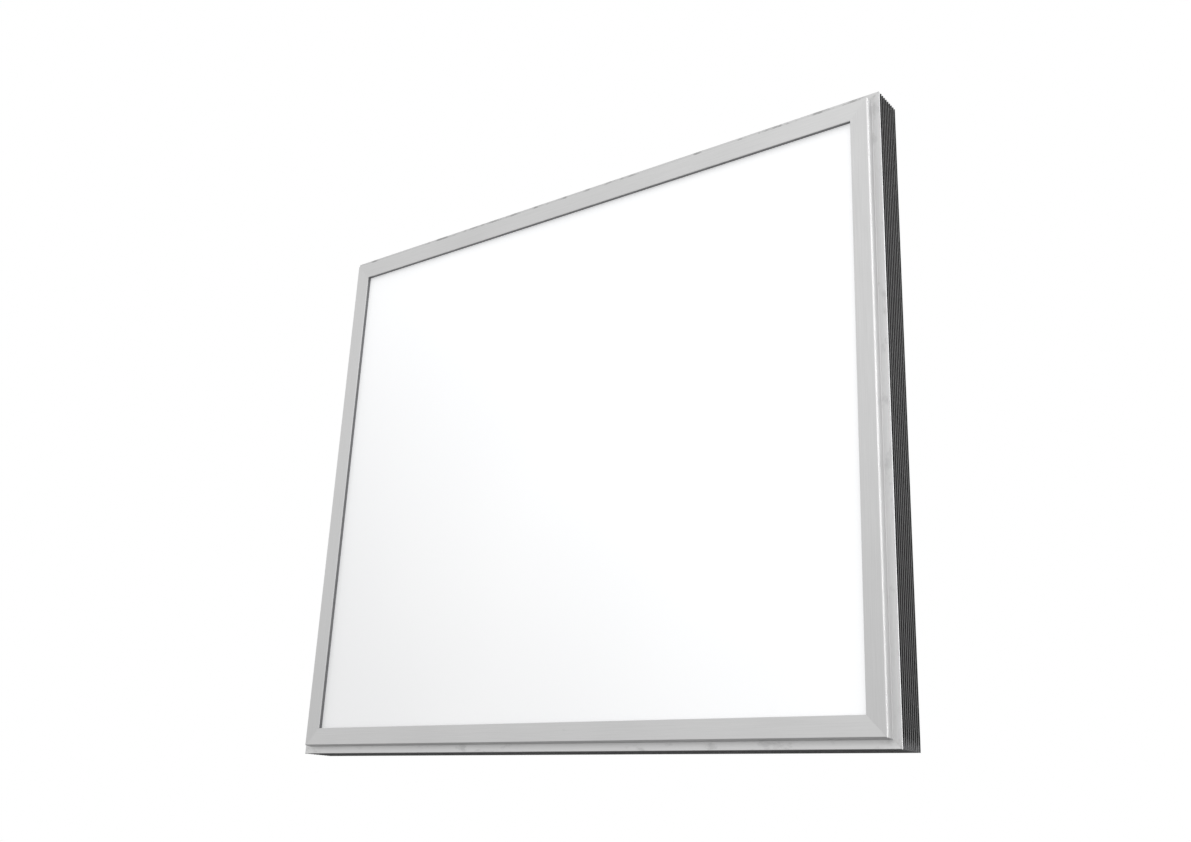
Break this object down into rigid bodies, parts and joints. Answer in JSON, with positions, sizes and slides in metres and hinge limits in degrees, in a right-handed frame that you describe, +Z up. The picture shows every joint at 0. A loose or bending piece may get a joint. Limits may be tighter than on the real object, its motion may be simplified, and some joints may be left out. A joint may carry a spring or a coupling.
{
  "type": "led panel light",
  "caption": "Flat edge-lit LED panel with a mitred silver bezel, a white diffuser and dark ribbed sides.",
  "frame": {"origin": "middle of the back cover's rear face", "axes": "+X to the right seen from the front, +Z up, -Y the way the light leaves, +Y out of the back"},
  "size_m": [0.595, 0.0382, 0.506],
  "materials": {
    "bezel": "satin silver anodised",
    "side_rail": "dark graphite anodised, lengthwise ribs",
    "corner_steel": "plain steel sheet",
    "corner_key": "die-cast, as cast",
    "screws": "zinc plated",
    "cover_screws": "black zinc plated",
    "diffuser": "opal acrylic, lit evenly from behind",
    "light_guide": "clear acrylic with printed dots",
    "reflector": "white film",
    "foam": "closed-cell foam",
    "inner_plate": "galvanised sheet",
    "led_board": "white solder mask",
    "led_chip": "phosphor",
    "thermal_tape": "soft filled tape",
    "circuit_board": "green solder mask",
    "transformer": "wound and taped",
    "capacitor": "sleeved can",
    "choke": "coated core",
    "terminal_block": "moulded",
    "lead_red": "insulated lead",
    "lead_black": "insulated lead",
    "lead_earth": "insulated lead",
    "lug": "tinned",
    "back_cover": "light grey powder coat on aluminium sheet",
    "gasket": "cellular strip",
    "seal": "grey strip",
    "mounting_nut": "zinc plated",
    "grommet": "moulded"
  },
  "bodies": {
    "root": {"bezel_top": "bezel", "bezel_bottom": "bezel", "bezel_left": "bezel", "bezel_right": "bezel", "side_rail_top": "side_rail", "side_rail_bottom": "side_rail", "side_rail_left": "side_rail", "side_rail_right": "side_rail", "bezel_corner_plates": "corner_steel", "rail_corner_keys": "corner_key", "bezel_screws": "screws", "corner_grub_screws": "screws", "driver_screws": "screws", "terminal_screws": "screws", "earth_screw": "screws", "cover_screws": "cover_screws", "diffuser": "diffuser", "light_guide": "light_guide", "reflector_sheet": "reflector", "edge_tapes": "reflector", "foam_pad": "foam", "inner_plate": "inner_plate", "driver_tray": "inner_plate", "driver_lid": "inner_plate", "led_board_top": "led_board", "led_board_bottom": "led_board", "led_chips": "led_chip", "thermal_tapes": "thermal_tape", "driver_board": "circuit_board", "transformer": "transformer", "capacitors": "capacitor", "line_choke": "choke", "terminal_block": "terminal_block", "positive_leads": "lead_red", "negative_leads": "lead_black", "earth_lead": "lead_earth", "earth_lug": "lug", "back_cover": "back_cover", "cover_gaskets": "gasket", "diffuser_seals": "seal", "mounting_nuts": "mounting_nut", "inlet_grommet": "grommet"}
  },
  "joints": []
}
